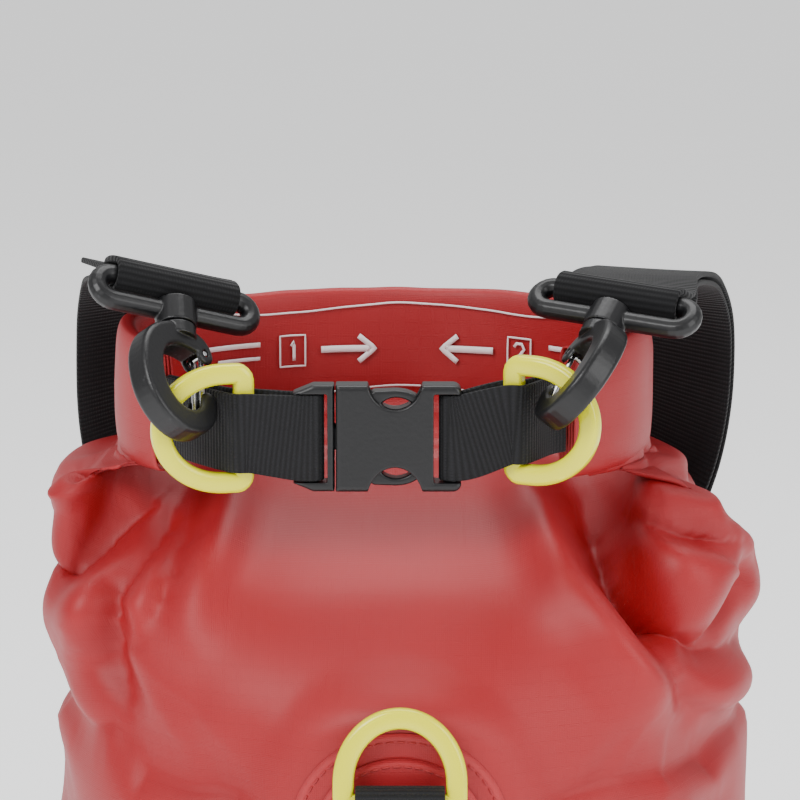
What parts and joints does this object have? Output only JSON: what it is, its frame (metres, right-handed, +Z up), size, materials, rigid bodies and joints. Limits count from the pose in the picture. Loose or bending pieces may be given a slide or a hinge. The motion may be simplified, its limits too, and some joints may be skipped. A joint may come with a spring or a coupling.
{
  "type": "dry bag",
  "caption": "Roll-top dry bag, closed and standing, with a side-release buckle between D-rings and a shoulder sling on swivel snap hooks",
  "frame": {"origin": "centre of the base, on the surface that the bag stands on", "axes": "+Z up along the bag, -Y out of its front, where the buckle and the front ring are, +X to its right seen from the front"},
  "size_m": [0.2319, 0.2714, 0.3803],
  "materials": {
    "tarpaulin": "coated, low sheen",
    "strap_webbing": "ribbed, matt",
    "sling_webbing": "brushed, matt",
    "buckle_plastic": "satin moulded",
    "hook_plastic": "satin moulded",
    "ring_plastic": "glossy",
    "stiffener": "plain",
    "gate_wire": "bright drawn wire"
  },
  "bodies": {
    "bag": {"bag_shell": "tarpaulin", "base_disc": "tarpaulin", "base_band": "tarpaulin", "back_seam": "tarpaulin", "rolled_mouth": "tarpaulin", "stiffener": "stiffener", "webbing_left": "strap_webbing", "webbing_right": "strap_webbing", "front_patch": "tarpaulin", "front_patch_inner": "tarpaulin", "front_tab": "strap_webbing", "sling": "sling_webbing"},
    "tongue": {"buckle_tongue": "buckle_plastic"},
    "prong_upper": {"prong_upper": "buckle_plastic"},
    "prong_lower": {"prong_lower": "buckle_plastic"},
    "housing": {"buckle_housing": "buckle_plastic"},
    "d_ring_left": {"d_ring_left": "ring_plastic"},
    "d_ring_right": {"d_ring_right": "ring_plastic"},
    "d_ring_front": {"d_ring_front": "ring_plastic"},
    "ring_left": {"sling_ring_left": "hook_plastic"},
    "hook_left": {"hook_left": "hook_plastic"},
    "gate_left": {"gate_left": "gate_wire"},
    "ring_right": {"sling_ring_right": "hook_plastic"},
    "hook_right": {"hook_right": "hook_plastic"},
    "gate_right": {"gate_right": "gate_wire"},
    "slide": {"sling_slide": "buckle_plastic", "sling_end": "sling_webbing"}
  },
  "joints": [
    {"name": "d_ring_left_swing", "type": "hinge", "parent": "bag", "child": "d_ring_left", "pos_m": [-0.0448, -0.071, 0.3326], "axis": [0.0052, 0, 1], "range_deg": [-3, 0]},
    {"name": "d_ring_right_swing", "type": "hinge", "parent": "bag", "child": "d_ring_right", "pos_m": [0.0327, -0.071, 0.3351], "axis": [0.007, 0, -1], "range_deg": [-15, 0]},
    {"name": "d_ring_front_swing", "type": "hinge", "parent": "bag", "child": "d_ring_front", "pos_m": [0, -0.11632, 0.2348], "axis": [1, 0, 0], "range_deg": [-3, 150]},
    {"name": "ring_left_tilt", "type": "hinge", "parent": "bag", "child": "ring_left", "pos_m": [-0.06551, -0.05104, 0.37013], "axis": [0.8919, 0.3731, -0.2554], "range_deg": [-1, 0]},
    {"name": "hook_left_swivel", "type": "hinge", "parent": "ring_left", "child": "hook_left", "pos_m": [-0.0648, -0.0572, 0.3636], "axis": [-0.0784, 0.684, 0.7252], "range_deg": [-3, 12]},
    {"name": "gate_left_open", "type": "hinge", "parent": "hook_left", "child": "gate_left", "pos_m": [-0.05853, -0.06186, 0.35089], "axis": [-0.709, 0.4731, -0.5229], "range_deg": [0, 6], "stiffness_Nm_per_rad": 0.012, "springref_deg": -8.59},
    {"name": "ring_right_tilt", "type": "hinge", "parent": "bag", "child": "ring_right", "pos_m": [0.0637, -0.05227, 0.36737], "axis": [0.8965, -0.4353, -0.0819], "range_deg": [-1, 0.5]},
    {"name": "hook_right_swivel", "type": "hinge", "parent": "ring_right", "child": "hook_right", "pos_m": [0.0601, -0.0587, 0.3622], "axis": [0.3994, 0.7144, 0.5745], "range_deg": [-20, 5]},
    {"name": "gate_right_open", "type": "hinge", "parent": "hook_right", "child": "gate_right", "pos_m": [0.05122, -0.0627, 0.3509], "axis": [-0.7703, -0.0783, 0.6329], "range_deg": [0, 11], "stiffness_Nm_per_rad": 0.012, "springref_deg": -8.59},
    {"name": "tongue_slide", "type": "slide", "parent": "bag", "child": "tongue", "axis": [-1, 0, 0], "range_m": [0, 0.009], "deforming": ["webbing_left"]},
    {"name": "housing_slide", "type": "slide", "parent": "bag", "child": "housing", "axis": [1, 0, 0], "range_m": [0, 0.0105], "deforming": ["webbing_right"]},
    {"name": "prong_upper_squeeze", "type": "hinge", "parent": "tongue", "child": "prong_upper", "pos_m": [-0.0193, -0.071, 0.3406], "axis": [0, 1, 0], "range_deg": [0, 5], "stiffness_Nm_per_rad": 0.03, "springref_deg": -2.86},
    {"name": "prong_lower_squeeze", "type": "hinge", "parent": "tongue", "child": "prong_lower", "pos_m": [-0.0193, -0.071, 0.3194], "axis": [0, -1, 0], "range_deg": [0, 5]},
    {"name": "strap_slide_travel", "type": "slide", "parent": "bag", "child": "slide", "axis": [0.123, -0.1289, 0.984], "range_m": [0, 0.022]}
  ],
  "couplings": [
    {"joint": "prong_lower_squeeze", "follows": "prong_upper_squeeze", "ratio": 1}
  ]
}
